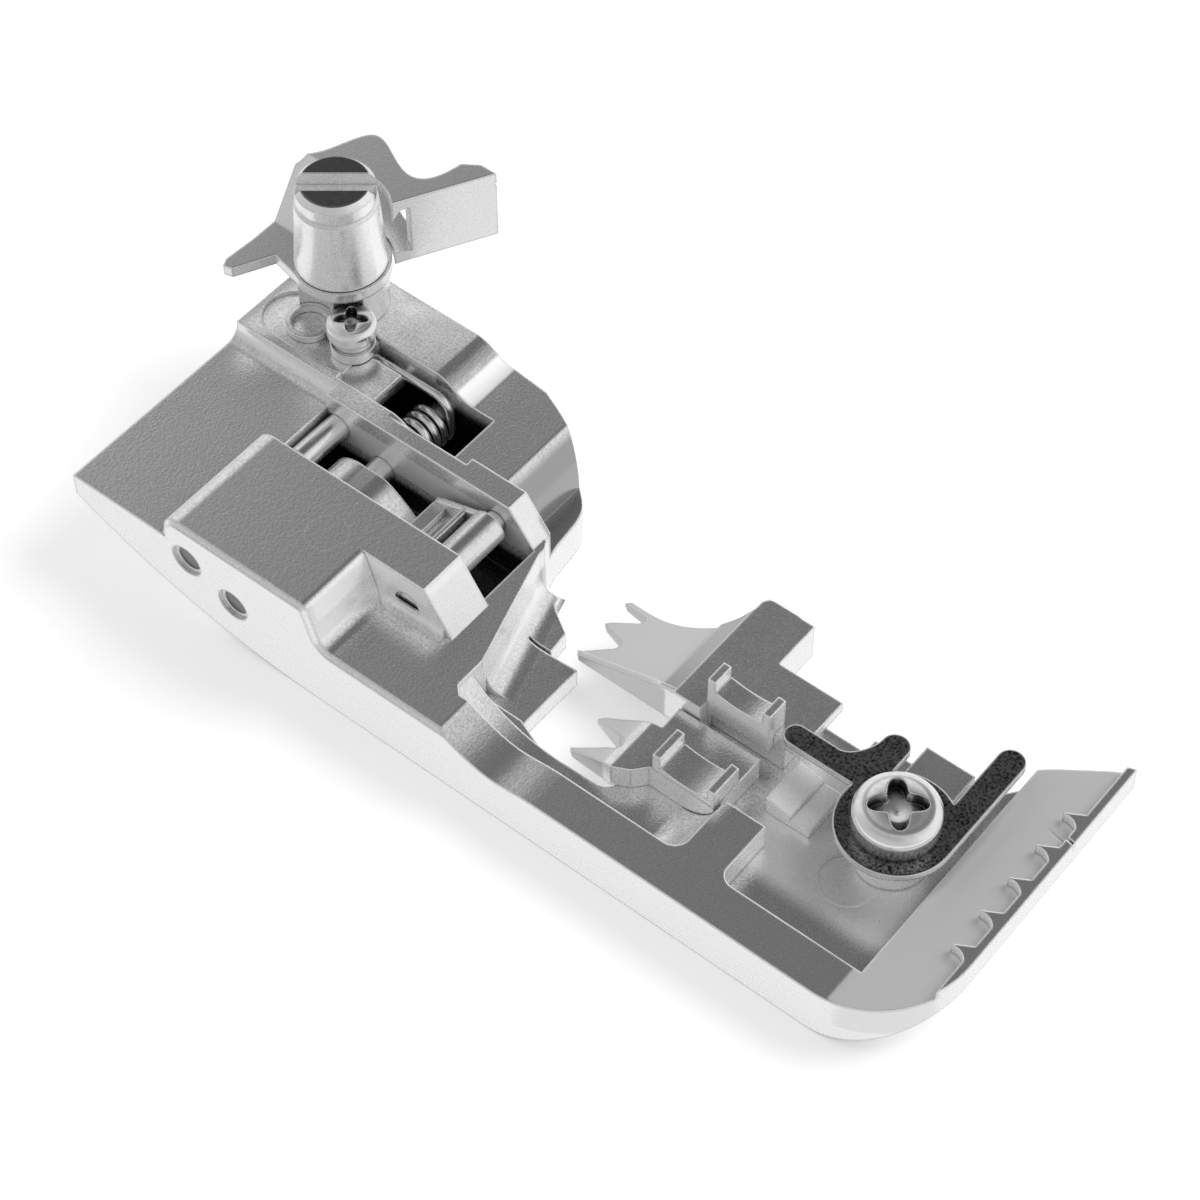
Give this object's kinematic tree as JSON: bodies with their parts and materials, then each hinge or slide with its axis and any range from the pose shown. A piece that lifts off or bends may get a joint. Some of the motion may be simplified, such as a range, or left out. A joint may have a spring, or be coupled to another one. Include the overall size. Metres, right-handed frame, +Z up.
{
  "type": "sewing machine presser foot",
  "caption": "Overlock machine presser foot: plated cast sole and head, stitch finger plates, dark forked guide, sprung rocker and a swinging release lever.",
  "frame": {"origin": "needle-drop point in the plane of the sole's underside", "axes": "+X to the toe, +Y to the far side, +Z up"},
  "size_m": [0.0727, 0.0334, 0.0205],
  "materials": {
    "nickel_plate": "satin nickel plate over a fine cast grain",
    "bright_steel": "bright turned and milled steel",
    "blued_steel": "black oxide steel sheet"
  },
  "bodies": {
    "foot": {"foot_casting": "nickel_plate", "far_finger_plate": "bright_steel", "near_finger_plate": "bright_steel", "far_thread_guide": "bright_steel", "near_thread_guide": "bright_steel", "guide_stop": "nickel_plate", "guide_screw": "bright_steel", "rear_pin": "bright_steel", "hinge_pin": "bright_steel", "stop_pin": "bright_steel", "link_frame": "bright_steel", "torsion_spring": "bright_steel", "spring_cover": "bright_steel", "clamp_plate": "bright_steel", "insert_screws": "bright_steel", "adjusting_screw": "bright_steel", "screw_spacer": "bright_steel", "post_pedestal": "bright_steel", "lever_post": "bright_steel"},
    "guide": {"tape_guide": "blued_steel"},
    "rocker": {"rocker": "bright_steel"},
    "lever": {"release_lever": "nickel_plate"}
  },
  "joints": [
    {"name": "lever_swing", "type": "hinge", "parent": "foot", "child": "lever", "pos_m": [-0.0334, 0.0135, 0.01245], "axis": [0, 0, 1], "range_deg": [-12, 15]},
    {"name": "rocker_swing", "type": "hinge", "parent": "foot", "child": "rocker", "pos_m": [-0.0233, 0.002, 0.00443], "axis": [0, 1, 0], "range_deg": [0, 8], "stiffness_Nm_per_rad": 0.002, "springref_deg": -5.73},
    {"name": "guide_swivel", "type": "hinge", "parent": "foot", "child": "guide", "pos_m": [0.0232, 0.0026, 0.006], "axis": [0, 0, 1], "range_deg": [-3, 3]}
  ]
}
